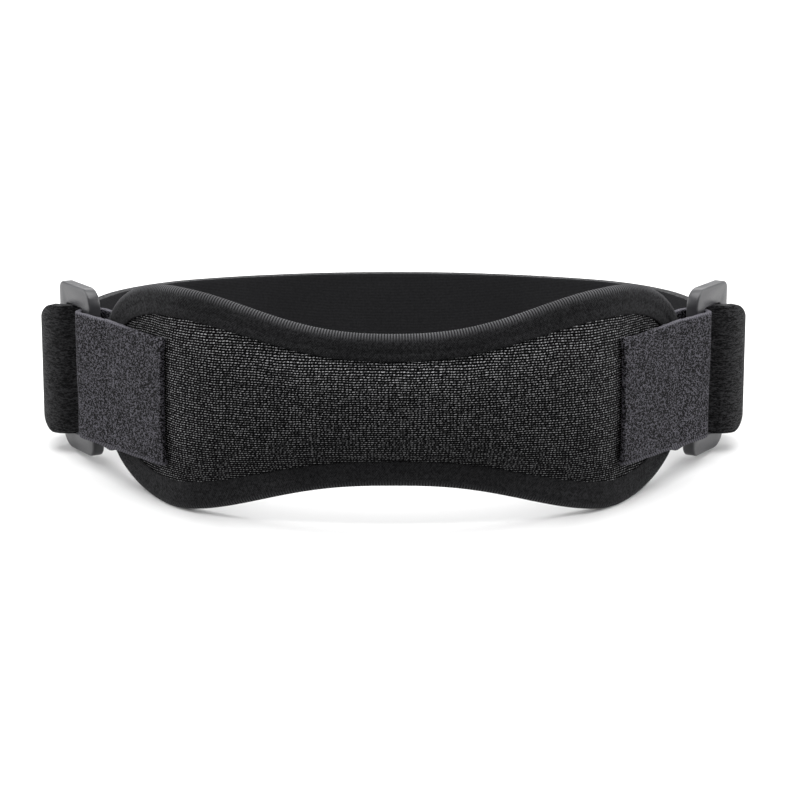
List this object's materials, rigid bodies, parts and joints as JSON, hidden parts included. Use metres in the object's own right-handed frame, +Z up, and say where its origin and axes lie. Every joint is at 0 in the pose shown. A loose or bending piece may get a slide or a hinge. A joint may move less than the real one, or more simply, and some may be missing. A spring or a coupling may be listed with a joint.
{
  "type": "patella strap",
  "caption": "Knee strap with a dog-bone padded front, edge binding, two plastic rings, hook-and-loop straps and a padded back strap, closed in a loop.",
  "frame": {"origin": "on the surface it stands on, under the middle of its box", "axes": "+X across the front from ring to ring, +Y from the pad to the back strap, +Z up along the leg"},
  "size_m": [0.216, 0.1156, 0.0654],
  "materials": {
    "mesh_knit": "open mesh knit",
    "edge_tape": "ribbed binding tape",
    "hook_tape": "speckled hook tape",
    "brushed_loop": "brushed loop cloth",
    "ring_plastic": "satin"
  },
  "bodies": {
    "root": {"pad_cushion": "mesh_knit", "pad_binding": "edge_tape", "ring_right": "ring_plastic", "ring_left": "ring_plastic", "hook_strap_right": "hook_tape", "hook_strap_left": "hook_tape", "back_strap": "brushed_loop"}
  },
  "joints": []
}
